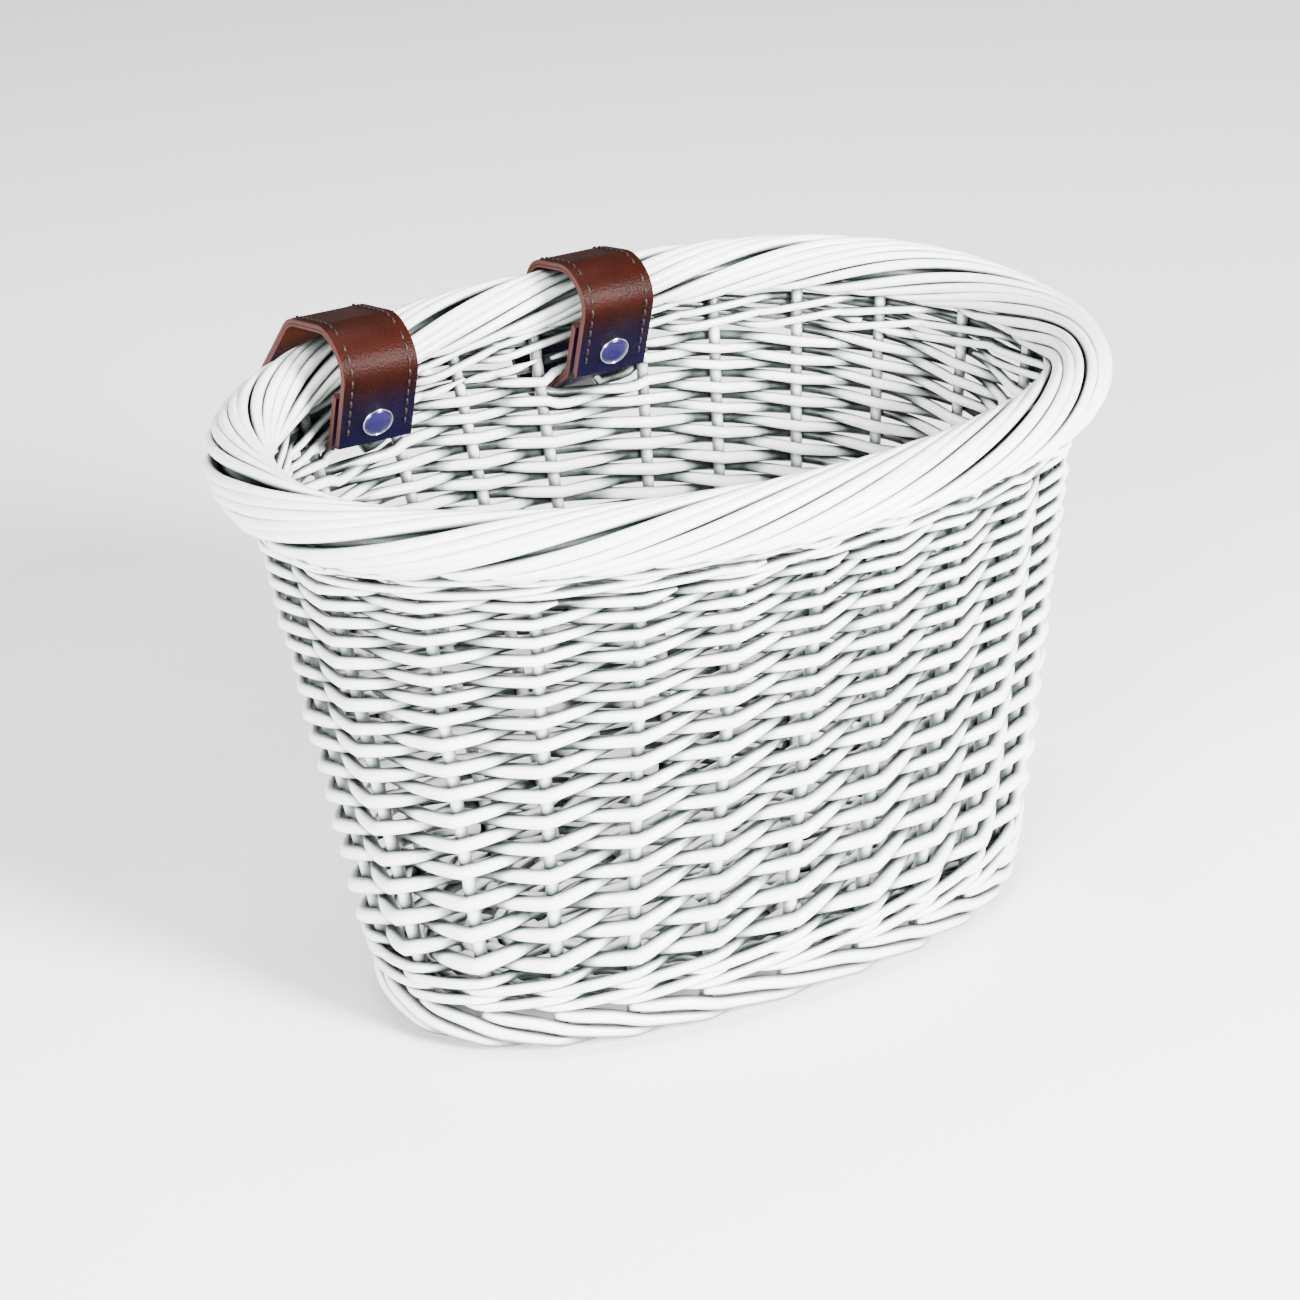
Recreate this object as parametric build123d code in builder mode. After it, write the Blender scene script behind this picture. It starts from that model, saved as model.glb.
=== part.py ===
"""Children's willow handlebar basket with two leather snap straps.

X runs along the basket, +Y points at the handlebar, +Z is up, all in millimetres.
The origin lies under the middle of the basket, on the surface it stands on.
"""

import os
from math import acos, asin, atan2, cos, hypot, pi, radians, sin, sqrt, tan

from build123d import *

# Rolled border at the mouth, measured to the middle of the roll
border_half_length = 115.5
border_front_depth = 79.5
border_back_depth = 65.5
border_front_roundness = 1.91  # 2 is an ellipse, more is squarer
border_back_roundness = 2.65
border_height = 154.0
border_back_lift = 3.6  # the handlebar side is higher than the front by twice this
border_end_dip = 3.0  # the two ends sit lower than the middle by this
border_radius = 9.2
wall_inset = 2.7  # the wall's middle lies inside the middle of the roll by this

# Foot of the wall, measured to the wall's middle
base_half_length = 90.6
base_front_depth = 46.0
base_back_depth = 43.2
base_roundness = 2.33
base_shift = -7.6

# Bands of the wall, from the ground up
wall_foot_half = 5.6  # half the thickness, where the rods are thick
wall_head_half = 4.0  # and under the border, where they are thin
wall_foot = 8.0
foot_border_height = 8.0
foot_border_half = 4.4
bottom_wale_bottom = 13.0
bottom_wale_top = 22.0
top_wale_depth = 21.0  # from the middle of the border down to the side weave
wall_into_border = 0.5  # the wall stops this far under the middle of the border

# Stakes, which the weave goes in and out of
stake_count = 23
stake_radius = 1.85
stake_bottom = 1.6
stake_into_border = 2.0  # and the stakes this far
stake_turn = 0.065  # where the first stake stands, in stake spaces
stake_drift = 0.095  # slow unevenness of the spacing, in stake spaces
stake_to_strap = 0.86  # the stakes beside a strap are pushed apart to keep this clear of it
channel_clearance = 0.1

# Oval base
base_weave_bottom = 10.0
base_weave_thickness = 8.0
base_clearance = 0.15
cross_stick_count = 6
cross_stick_radius = 2.8
cross_stick_spacing = 21.0
long_stick_count = 3
long_stick_radius = 1.9
long_stick_spacing = 7.5
stick_end_inset = 3.0

# Straps and the handlebar they hold
strap_gaps = (5, 8)  # each strap passes between this stake and the next one
strap_width = 21.0
leather_thickness = 1.2
lining_thickness = 0.9
handlebar_radius = 11.1
handlebar_clearance = 0.6  # to the wall and to the roll
handlebar_drop = 18.4  # the bar's axis lies this far under the middle of the back roll
strap_clearance = 0.4  # to the roll it goes over
slot_clearance = 0.35
slot_drop = 17.0  # the strap turns out through the wall this far under the middle of the roll
slot_reach = 13.0  # the slot is cut this far to either side of the wall's middle
foot_bend_radius = 4.0
tail_rise = 15.5
tail_clearance = 1.5  # between the tail's foot and the wall
tail_lean = 0.35  # sideways lean of the tail and flap end for each millimetre up
flap_gap = 1.9  # between the tail and the flap over it, filled by the snap
flap_crest_angle = 78.0
flap_hang = 14.5  # the flap's end hangs this far under the tail's top
flap_shoulder_rise = 9.0  # from the tail's top to the flap's outer bend
flap_crest_run = 9.5  # from the outer bend to the upper bend
flap_bend_radii = (13.0, 7.0)
fold_gap = 0.3  # between the two leather edges at a fold
upper_fold_offset = -6.0  # from the middle of the roll
lower_fold_rise = 3.0  # above the tail's top

# Snap fastener
snap_below_tail_top = 6.5
cap_radius = 4.3
cap_height = 1.5
cap_edge = 0.45
socket_radius = 3.9
socket_bore = 2.7
socket_height = 1.0
stud_flange_radius = 3.4
stud_flange_height = 0.35
stud_radius = 1.6
stud_engagement = 0.6
snap_post_radius = 1.2
rivet_radius = 3.0
rivet_height = 0.6

outline_points = 46
top_wale_bottom = border_height - top_wale_depth
wall_top = border_height - wall_into_border
stake_top = border_height - stake_into_border
strap_thickness = leather_thickness + lining_thickness
stick_height = base_weave_bottom + base_weave_thickness / 2


def rounded(half_length, depth, roundness, turn):
    """One point of a squared-off ellipse."""
    along, across = cos(turn), sin(turn)
    x = half_length * abs(along) ** (2 / roundness)
    y = depth * abs(across) ** (2 / roundness)
    return (x if along > 0 else -x, y if across > 0 else -y)


def border_point(turn, inset=0.0):
    """Middle of the rolled border, or a line that runs inside it."""
    front = sin(turn) < 0
    depth = border_front_depth if front else border_back_depth
    roundness = border_front_roundness if front else border_back_roundness
    return rounded(border_half_length - inset, depth - inset, roundness, turn)


def border_rise(turn):
    return border_height + border_back_lift * sin(turn) - border_end_dip * cos(2 * turn)


def wall_middle(turn, height):
    """The wall's middle surface: a straight line from foot to border at each turn."""
    depth = base_front_depth if sin(turn) < 0 else base_back_depth
    foot = rounded(base_half_length, depth, base_roundness, turn)
    head = border_point(turn, wall_inset)
    share = (height - wall_foot) / (border_height - wall_foot)
    x = foot[0] + (head[0] - foot[0]) * share
    y = foot[1] + base_shift + (head[1] - foot[1] - base_shift) * share
    return (x, y)


def half_wall(height):
    share = (height - wall_foot) / (border_height - wall_foot)
    return wall_foot_half + (wall_head_half - wall_foot_half) * share


def wall_point(turn, height, outset):
    """A point beside the wall's middle surface, outwards if outset is positive."""
    step = 0.01
    ahead, behind = wall_middle(turn + step, height), wall_middle(turn - step, height)
    run = (ahead[0] - behind[0], ahead[1] - behind[1])
    length = hypot(*run)
    x, y = wall_middle(turn, height)
    return (x + run[1] / length * outset, y - run[0] / length * outset)


def spread_turns():
    """Lengths along the wall at mid-height, to place stakes at even distances."""
    steps = 720
    turns = [2 * pi * i / steps for i in range(steps + 1)]
    spots = [wall_middle(turn, border_height / 2) for turn in turns]
    reach = [0.0]
    for here, there in zip(spots, spots[1:]):
        reach.append(reach[-1] + hypot(there[0] - here[0], there[1] - here[1]))
    return turns, reach


turns, reach = spread_turns()
stake_spacing = reach[-1] / stake_count
strap_gap_spread = strap_width / 2 + stake_radius + stake_to_strap - stake_spacing / 2


def turn_at(length):
    """The turn that lies a given length along the wall."""
    length = length % reach[-1]
    index = next(i for i in range(1, len(reach)) if reach[i] >= length)
    part = (length - reach[index - 1]) / (reach[index] - reach[index - 1])
    return turns[index - 1] + (turns[index] - turns[index - 1]) * part


def stake_turn_of(index):
    wave = cos(2 * pi * (index / stake_count - 0.75))
    place = (index + stake_turn + stake_drift * wave) / stake_count * reach[-1]
    if index in strap_gaps:
        place -= strap_gap_spread
    if index - 1 in strap_gaps:
        place += strap_gap_spread
    return turn_at(place)


outline_turns = [turn_at(reach[-1] * i / outline_points) for i in range(outline_points)]


def outline(height, outset):
    """Closed outline of the wall at one height."""
    with BuildSketch(Plane.XY.offset(height)) as sketch:
        with BuildLine():
            Spline(*[wall_point(turn, height, outset) for turn in outline_turns], periodic=True)
        make_face()
    return sketch


def stake_plane(turn, height, upper):
    """A plane square to a stake, at a height, looking up along it."""
    low = Vector(*wall_middle(turn, height), height)
    high = Vector(*wall_middle(turn, upper), upper)
    return Plane(origin=low, x_dir=(high - low).cross(Vector(0, 0, 1)), z_dir=high - low)


def stake_length(turn, low, high):
    a, b = wall_middle(turn, low), wall_middle(turn, high)
    return sqrt((b[0] - a[0]) ** 2 + (b[1] - a[1]) ** 2 + (high - low) ** 2)


stake_turns = [stake_turn_of(i) for i in range(stake_count)]
os.makedirs("parts", exist_ok=True)


def save(name, part):
    part.label = name
    export_step(part, f"parts/{name}.step")


# Straps run square to X, each in the middle of the gap between two stakes
bar_z = border_rise(pi / 2) - handlebar_drop
bar_y_at_wall = wall_middle(pi / 2, bar_z)[1] + half_wall(bar_z)
bar_reach = border_radius + handlebar_radius + handlebar_clearance
bar_y = max(
    bar_y_at_wall + handlebar_radius + handlebar_clearance,
    border_back_depth + sqrt(bar_reach**2 - handlebar_drop**2),
)
foot_z = border_rise(pi / 2) - slot_drop


def strap_x(gap):
    ends = [wall_middle(stake_turns[i], foot_z)[0] for i in (gap, gap + 1)]
    return sum(ends) / 2


def turn_over(x, inset=0.0):
    """The turn on the back where the border, or a line inside it, passes over x."""
    share = min(abs(x) / (border_half_length - inset), 1.0)
    along = share ** (border_back_roundness / 2)
    return atan2(sqrt(1 - along**2), along if x > 0 else -along)


def wall_y(x, height, outset, side=1):
    """Where the back or front wall's face stands at x, found by stepping the turn."""
    turn = side * acos(x / border_half_length)
    for _ in range(40):
        turn += side * (wall_point(turn, height, outset)[0] - x) / border_half_length
    return wall_point(turn, height, outset)[1]


def crossing(angle_a, reach_a, angle_b, reach_b, center):
    """Where two lines meet that stand off a centre by their reach, at their angles."""
    a, b = radians(angle_a), radians(angle_b)
    spread = sin(b - a)
    y = (reach_a * sin(b) - reach_b * sin(a)) / spread
    z = (reach_b * cos(a) - reach_a * cos(b)) / spread
    return (center[0] + y, center[1] + z)


def strap_route(x):
    """Middle line of the strap in the YZ plane at x: fixed part, flap and flap end."""
    half = strap_width / 2
    turn = turn_over(x)
    roll = (border_point(turn)[1], border_rise(turn))
    sides = [border_point(turn_over(x + side * half))[1] for side in (-1, 1)]
    hug = border_radius + max(sides) - roll[0] + strap_clearance + lining_thickness
    around = handlebar_radius + lining_thickness
    run = (bar_y - roll[0], bar_z - roll[1])
    lead = atan2(run[1], run[0]) + pi / 2 + asin((around - hug) / hypot(*run))
    down = lead * 180 / pi
    shoulder = crossing(flap_crest_angle, hug, down, hug, roll)
    inner = min(wall_y(x + edge * half, foot_z, -half_wall(foot_z)) for edge in (-1, 1))
    foot = (inner - tail_clearance - strap_thickness / 2, foot_z)
    away = (bar_y - foot[0], bar_z - foot[1])
    dip = asin(around / hypot(*away)) - atan2(away[1], away[0])
    rear = crossing(down, around, -90 - dip * 180 / pi, around, (bar_y, bar_z))
    tail = (foot[0] - tail_lean * tail_rise, foot[1] + tail_rise)
    lean = hypot(1, tail_lean)
    over = (leather_thickness + flap_gap + lining_thickness) * lean
    flap_end = (tail[0] - over + tail_lean * flap_hang, tail[1] - flap_hang)
    bend = (tail[0] - over - tail_lean * flap_shoulder_rise, tail[1] + flap_shoulder_rise)
    crest_angle = radians(flap_crest_angle)
    upper_y = bend[0] + flap_crest_run
    upper = (upper_y, roll[1] + (hug - (upper_y - roll[0]) * cos(crest_angle)) / sin(crest_angle))
    fold_y = roll[0] + upper_fold_offset
    upper_fold = (fold_y, roll[1] + (hug - upper_fold_offset * cos(crest_angle)) / sin(crest_angle))
    lower_fold = (tail[0] - over - tail_lean * lower_fold_rise, tail[1] + lower_fold_rise)
    return {
        "fixed": [tail, foot, rear, shoulder, upper_fold],
        "fixed_radii": [foot_bend_radius, around, hug],
        "flap": [upper_fold, upper, bend, lower_fold],
        "flap_radii": list(flap_bend_radii),
        "end": [lower_fold, flap_end],
        "end_radii": [],
        "tail": tail,
        "over": over,
        "foot": foot,
        "dip": dip,
    }


def pulled_back(points, start_gap, end_gap):
    """The same route with its ends drawn in a little."""
    first, second = Vector(*points[0]), Vector(*points[1])
    last, before = Vector(*points[-1]), Vector(*points[-2])
    start = first + (second - first).normalized() * start_gap
    end = last + (before - last).normalized() * end_gap
    return [(start.X, start.Y)] + list(points[1:-1]) + [(end.X, end.Y)]


def strap_layer(x, route, radii, side, thickness, holes):
    """One layer of a strap, on the outer or the lining side of its middle line."""
    with BuildPart() as layer:
        with BuildSketch(Plane.YZ.offset(x)):
            with BuildLine():
                if radii:
                    FilletPolyline(*route, radius=radii)
                else:
                    Polyline(*route)
                offset(amount=thickness, side=side)
            make_face()
        extrude(amount=strap_width / 2, both=True)
        for plane in holes:
            with BuildSketch(plane):
                Circle(snap_post_radius + channel_clearance)
            extrude(amount=strap_thickness * 2, both=True, mode=Mode.SUBTRACT)
    return layer.part


def band(low, high, low_half, high_half):
    """A closed ring of wall between two heights."""
    with BuildPart() as ring:
        add(outline(low, low_half).sketch)
        add(outline(high, high_half).sketch)
        loft(ruled=True)
        add(outline(low, -low_half).sketch)
        add(outline(high, -high_half).sketch)
        loft(ruled=True, mode=Mode.SUBTRACT)
    return ring.part


def bored_band(low, high, low_half, high_half, slots=()):
    """A band of wall with a channel for every stake, and slots for the straps."""
    with BuildPart() as ring:
        add(band(low, high, low_half, high_half))
        for turn in stake_turns:
            with BuildSketch(stake_plane(turn, low - 1, high + 1)):
                Circle(stake_radius + channel_clearance)
            extrude(amount=stake_length(turn, low - 1, high + 1), mode=Mode.SUBTRACT)
        for plane in slots:
            with BuildSketch(plane):
                Rectangle(strap_width + 2 * slot_clearance, strap_thickness + 2 * slot_clearance)
            extrude(amount=slot_reach, both=True, mode=Mode.SUBTRACT)
    return ring.part


def slot_plane(x):
    """A plane square to the strap where it passes through the middle of the wall."""
    route = strap_route(x)
    foot, dip = route["foot"], route["dip"]
    run = wall_y(x, foot_z, 0) - foot[0]
    origin = (x, foot[0] + run, foot[1] - run * tan(dip))
    return Plane(origin=origin, x_dir=(1, 0, 0), z_dir=(0, cos(dip), -sin(dip)))


strap_places = [strap_x(gap) for gap in strap_gaps]
slots = [slot_plane(x) for x in strap_places]
save("foot_border", bored_band(0, foot_border_height, foot_border_half, foot_border_half))
for name, low, high, cuts in (
    ("bottom_wale", bottom_wale_bottom, bottom_wale_top, ()),
    ("side_weave", bottom_wale_top, top_wale_bottom, ()),
    ("top_wale", top_wale_bottom, wall_top, slots),
):
    save(name, bored_band(low, high, half_wall(low), half_wall(high), cuts))


def stake(turn):
    """A straight rod up the middle of the wall, blunt at both ends."""
    with BuildPart() as rod:
        with BuildSketch(stake_plane(turn, stake_bottom, stake_top)):
            Circle(stake_radius)
        extrude(amount=stake_length(turn, stake_bottom, stake_top))
        chamfer(rod.edges(), 0.4)
    return rod.part


def rolled_border(start, end):
    """Half of the roll at the mouth, with a groove from below that the wall stands in."""
    with BuildPart() as roll:
        with BuildLine() as middle:
            whole = Spline(
                *[(*border_point(turn), border_rise(turn)) for turn in outline_turns],
                periodic=True,
                mode=Mode.PRIVATE,
            )
            add(whole.trim(start, end))
        with BuildSketch(Plane(origin=middle.line @ 0, z_dir=middle.line % 0)):
            Circle(border_radius)
        sweep()
        halves = (half_wall(top_wale_bottom), half_wall(wall_top))
        add(band(top_wale_bottom, wall_top, *halves), mode=Mode.SUBTRACT)
    return roll.part


def long_stick(index, spare=0.0):
    """A thin stick along the base, or the channel for it."""
    y = base_shift + (index - (long_stick_count - 1) / 2) * long_stick_spacing
    reach_x = wall_point(0, stick_height, -half_wall(stick_height))[0] - stick_end_inset + spare
    with BuildPart() as stick:
        with BuildSketch(Plane.YZ.offset(-reach_x)):
            with Locations((y, stick_height)):
                Circle(long_stick_radius + spare)
        extrude(amount=2 * reach_x)
    return stick.part


def cross_stick(index, spare=0.0):
    """A thick stick across the base, or the channel for it."""
    x = (index - (cross_stick_count - 1) / 2) * cross_stick_spacing
    inset = -half_wall(stick_height)
    back = wall_y(x, stick_height, inset) - stick_end_inset + spare
    front = wall_y(x, stick_height, inset, -1) + stick_end_inset - spare
    with BuildPart() as stick:
        with BuildSketch(Plane.XZ.offset(-back)):
            with Locations((x, stick_height)):
                Circle(cross_stick_radius + spare)
        extrude(amount=back - front)
    return stick.part


def pierced_cross_stick(index):
    """A cross stick with the holes that the long sticks pass through."""
    with BuildPart() as stick:
        add(cross_stick(index))
        for other in range(long_stick_count):
            add(long_stick(other, channel_clearance), mode=Mode.SUBTRACT)
    return stick.part


def base_weave():
    """The woven oval, fitted to the inside of the wall, round all its sticks."""
    top = base_weave_bottom + base_weave_thickness
    with BuildPart() as oval:
        add(outline(base_weave_bottom, -half_wall(base_weave_bottom) - base_clearance).sketch)
        add(outline(top, -half_wall(top) - base_clearance).sketch)
        loft(ruled=True)
        for index in range(cross_stick_count):
            add(cross_stick(index, channel_clearance), mode=Mode.SUBTRACT)
        for index in range(long_stick_count):
            add(long_stick(index, channel_clearance), mode=Mode.SUBTRACT)
    return oval.part


def snap_plane(x, route, rise):
    """A plane on the snap's axis, so far from the tail's middle towards the flap."""
    y, z = route["tail"]
    lean = hypot(1, tail_lean)
    origin = (
        x,
        y + tail_lean * snap_below_tail_top - rise / lean,
        z - snap_below_tail_top - rise * tail_lean / lean,
    )
    return Plane(origin=origin, x_dir=(1, 0, 0), z_dir=(0, -1, -tail_lean))


def snap_cap(x, route, flap_rise):
    """A low dome on the flap's face, with its post through both layers."""
    with BuildPart() as cap:
        with BuildSketch(snap_plane(x, route, flap_rise + leather_thickness)):
            Circle(cap_radius)
        extrude(amount=cap_height)
        fillet(cap.faces().sort_by(Axis.Y)[0].edges(), cap_height - cap_edge)
        with BuildSketch(snap_plane(x, route, flap_rise - lining_thickness)):
            Circle(snap_post_radius)
        extrude(amount=strap_thickness)
    return cap.part


def snap_socket(x, route, flap_rise):
    """A ring under the flap that the stud springs into."""
    with BuildPart() as socket:
        with BuildSketch(snap_plane(x, route, flap_rise - lining_thickness - socket_height)):
            Circle(socket_radius)
            Circle(socket_bore, mode=Mode.SUBTRACT)
        extrude(amount=socket_height)
    return socket.part


def snap_stud(x, route, socket_face):
    """A flange and a round stud on the tail."""
    with BuildPart() as stud:
        with BuildSketch(snap_plane(x, route, leather_thickness)):
            Circle(stud_flange_radius)
        extrude(amount=stud_flange_height)
        with BuildSketch(snap_plane(x, route, leather_thickness)):
            Circle(stud_radius)
        extrude(amount=socket_face + stud_engagement - leather_thickness)
        fillet(stud.faces().sort_by(Axis.Y)[0].edges(), stud_radius / 3)
    return stud.part


def snap_rivet(x, route):
    """The stud's rivet: a head behind the tail and a post through it."""
    with BuildPart() as rivet:
        with BuildSketch(snap_plane(x, route, -lining_thickness - rivet_height)):
            Circle(rivet_radius)
        extrude(amount=rivet_height)
        with BuildSketch(snap_plane(x, route, -lining_thickness)):
            Circle(snap_post_radius)
        extrude(amount=strap_thickness)
    return rivet.part


def make_strap(name, x):
    route = strap_route(x)
    flap_rise = route["over"] / hypot(1, tail_lean)
    gap = fold_gap / 2
    at_tail = [snap_plane(x, route, 0)]
    at_flap = [snap_plane(x, route, flap_rise)]
    pieces = (
        ("", pulled_back(route["fixed"], 0, gap), route["fixed_radii"], at_tail),
        ("_flap", pulled_back(route["flap"], gap, gap), route["flap_radii"], []),
        ("_end", pulled_back(route["end"], gap, 0), route["end_radii"], at_flap),
    )
    layers = (
        ("leather", Side.RIGHT, leather_thickness),
        ("lining", Side.LEFT, lining_thickness),
    )
    for piece, points, radii, holes in pieces:
        for layer, side, thickness in layers:
            part = strap_layer(x, points, radii, side, thickness, holes)
            save(f"{name}{piece}_{layer}", part)
    socket_face = flap_rise - lining_thickness - socket_height
    save(f"{name}_snap_cap", snap_cap(x, route, flap_rise))
    save(f"{name}_snap_socket", snap_socket(x, route, flap_rise))
    save(f"{name}_snap_stud", snap_stud(x, route, socket_face))
    save(f"{name}_snap_rivet", snap_rivet(x, route))


for index, turn in enumerate(stake_turns):
    save(f"stake_{index + 1:02d}", stake(turn))
save("rolled_border_back", rolled_border(0, 0.5))
save("rolled_border_front", rolled_border(0.5, 1))
for index in range(long_stick_count):
    save(f"base_long_stick_{index + 1}", long_stick(index))
for index in range(cross_stick_count):
    save(f"base_cross_stick_{index + 1}", pierced_cross_stick(index))
save("base_weave", base_weave())
for index, x in enumerate(strap_places):
    make_strap(f"strap_{index + 1}", x)
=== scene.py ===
import random
from math import acos, asin, atan2, cos, hypot, pi, radians, sin, tan

import bmesh
import bpy
from mathutils import Matrix, Vector, kdtree, noise


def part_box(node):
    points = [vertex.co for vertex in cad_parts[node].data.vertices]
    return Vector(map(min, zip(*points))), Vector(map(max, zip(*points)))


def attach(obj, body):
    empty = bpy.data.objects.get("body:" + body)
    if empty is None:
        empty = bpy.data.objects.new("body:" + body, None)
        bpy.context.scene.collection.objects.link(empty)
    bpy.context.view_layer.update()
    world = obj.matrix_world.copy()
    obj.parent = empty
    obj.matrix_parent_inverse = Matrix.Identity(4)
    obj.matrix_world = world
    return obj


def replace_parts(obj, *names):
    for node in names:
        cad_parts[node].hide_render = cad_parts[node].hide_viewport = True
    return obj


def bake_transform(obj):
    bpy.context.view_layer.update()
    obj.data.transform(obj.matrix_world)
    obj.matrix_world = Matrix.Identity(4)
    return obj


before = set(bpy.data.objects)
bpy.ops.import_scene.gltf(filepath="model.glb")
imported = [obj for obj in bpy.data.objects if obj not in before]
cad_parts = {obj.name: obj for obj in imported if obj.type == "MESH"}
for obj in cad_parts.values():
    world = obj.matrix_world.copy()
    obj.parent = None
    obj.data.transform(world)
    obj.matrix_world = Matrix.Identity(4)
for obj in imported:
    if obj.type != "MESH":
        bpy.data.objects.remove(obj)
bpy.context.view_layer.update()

# White willow basket with two leather straps. All sizes below are in mm, in the basket's own frame.
mm = 0.001
random.seed(23)
print("frame loaded:", len(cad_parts), "nodes")


# ---- colours and materials ----

def linear(code):
    parts = [int(code[i:i + 2], 16) / 255 for i in (1, 3, 5)]
    return (*[c / 12.92 if c <= 0.04045 else ((c + 0.055) / 1.055) ** 2.4 for c in parts], 1)


def add(tree, kind, settings=None, links=None):
    # one node with its settings, and its inputs linked to other nodes' outputs
    node = tree.nodes.new(kind)
    for key, value in (settings or {}).items():
        if hasattr(node, key):
            setattr(node, key, value)
        else:
            node.inputs[key].default_value = value
    for key, output in (links or {}).items():
        tree.links.new(output, node.inputs[key])
    return node


def newMaterial(name):
    material = bpy.data.materials.new(name)
    material.use_nodes = True
    tree = material.node_tree
    return material, tree, tree.nodes["Principled BSDF"]


def ramp(tree, fac, stops):
    node = add(tree, "ShaderNodeValToRGB", None, {"Fac": fac})
    band = node.color_ramp
    band.elements[0].position, band.elements[0].color = stops[0][0], linear(stops[0][1])
    band.elements[1].position, band.elements[1].color = stops[-1][0], linear(stops[-1][1])
    for place, code in stops[1:-1]:
        band.elements.new(place).color = linear(code)
    return node


def paintedWillow(name, stretch, top="#f7f8f5"):
    # brushed white gloss over peeled willow: fine streaks along the rod, and painted shade that darkens the
    # crossings by ambient occlusion
    material, tree, shader = newMaterial(name)
    spot = add(tree, "ShaderNodeTexCoord")
    long = add(tree, "ShaderNodeMapping", {"Scale": stretch}, {"Vector": spot.outputs["Object"]})
    streak = add(tree, "ShaderNodeTexNoise", {"Scale": 1.0, "Detail": 5.0, "Roughness": 0.6},
                 {"Vector": long.outputs["Vector"]})
    lump = add(tree, "ShaderNodeTexNoise", {"Scale": 260.0, "Detail": 2.0},
               {"Vector": spot.outputs["Object"]})
    # painted shade: ambient occlusion turns the paint grey, and near black, where rods lie close together
    corner = add(tree, "ShaderNodeAmbientOcclusion", {"samples": 8, "Distance": 0.014})
    shade = ramp(tree, corner.outputs["AO"], [(0.2, "#18201e"), (0.5, "#7d8885"), (0.76, top)])
    tint = ramp(tree, streak.outputs["Fac"], [(0.3, "#ecedea"), (0.62, "#ffffff")])
    both = add(tree, "ShaderNodeMixRGB", {"blend_type": "MULTIPLY", "Fac": 0.6},
               {"Color1": shade.outputs["Color"], "Color2": tint.outputs["Color"]})
    # painted shade: the sides of the strokes that face the middle of the wall's thickness are darkened, as if
    # the strokes around them shade them
    innerDepth = add(tree, "ShaderNodeAttribute", {"attribute_name": "reach"})
    innerShadeTint = ramp(tree, innerDepth.outputs["Fac"],
                [(0.0, "#ffffff"), (0.12, "#ffffff"), (0.5, "#8d9692"), (0.9, "#2c3533")])
    last = add(tree, "ShaderNodeMixRGB", {"blend_type": "MULTIPLY", "Fac": 1.0},
               {"Color1": both.outputs["Color"], "Color2": innerShadeTint.outputs["Color"]})
    tree.links.new(last.outputs["Color"], shader.inputs["Base Color"])
    fine = add(tree, "ShaderNodeBump", {"Strength": 0.35, "Distance": 0.0004},
               {"Height": streak.outputs["Fac"]})
    rough = add(tree, "ShaderNodeBump", {"Strength": 0.3, "Distance": 0.0008},
                {"Height": lump.outputs["Fac"], "Normal": fine.outputs["Normal"]})
    tree.links.new(rough.outputs["Normal"], shader.inputs["Normal"])
    shader.inputs["Roughness"].default_value = 0.36
    shader.inputs["Coat Weight"].default_value = 0.25
    shader.inputs["Coat Roughness"].default_value = 0.2
    return material


toneTurn = {"height": 158, "under": 10, "over": 9}  # where the brown runs out, in mm above the floor


def heightToneLeather(name, upper, lower, roughness):
    # oiled cowhide, brown on the bend and running to a dark violet towards the snap, with a fine pebble
    material, tree, shader = newMaterial(name)
    spot = add(tree, "ShaderNodeTexCoord")
    axes = add(tree, "ShaderNodeSeparateXYZ", None, {"Vector": spot.outputs["Object"]})
    # the colour turns darker with falling height, from brown to a dark violet lower down towards the snap
    depth = add(tree, "ShaderNodeMapRange",
                {"From Min": (toneTurn["height"] - toneTurn["under"]) * mm,
                 "From Max": (toneTurn["height"] + toneTurn["over"]) * mm},
                {"Value": axes.outputs["Z"]})
    tint = ramp(tree, depth.outputs["Result"],
                [(0.0, lower[0]), (0.45, lower[1]), (0.72, upper[0]), (1.0, upper[1])])
    cloud = add(tree, "ShaderNodeTexNoise", {"Scale": 160.0, "Detail": 4.0},
                {"Vector": spot.outputs["Object"]})
    worn = ramp(tree, cloud.outputs["Fac"], [(0.35, "#a9a09c"), (0.7, "#ffffff")])
    both = add(tree, "ShaderNodeMixRGB", {"blend_type": "MULTIPLY", "Fac": 0.55},
               {"Color1": tint.outputs["Color"], "Color2": worn.outputs["Color"]})
    tree.links.new(both.outputs["Color"], shader.inputs["Base Color"])
    pebble = add(tree, "ShaderNodeTexVoronoi", {"feature": "F1", "Scale": 1500.0},
                 {"Vector": spot.outputs["Object"]})
    crease = add(tree, "ShaderNodeBump", {"Strength": 0.45, "Distance": 0.00025},
                 {"Height": pebble.outputs["Distance"]})
    tree.links.new(crease.outputs["Normal"], shader.inputs["Normal"])
    shader.inputs["Roughness"].default_value = roughness
    shader.inputs["Specular IOR Level"].default_value = 0.09
    return material


def plain(name, code, roughness, metallic=0.0, coat=0.0):
    # one even colour: small parts that only need the right gloss
    material, tree, shader = newMaterial(name)
    shader.inputs["Base Color"].default_value = linear(code)
    shader.inputs["Roughness"].default_value = roughness
    shader.inputs["Metallic"].default_value = metallic
    shader.inputs["Coat Weight"].default_value = coat
    return material


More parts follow.
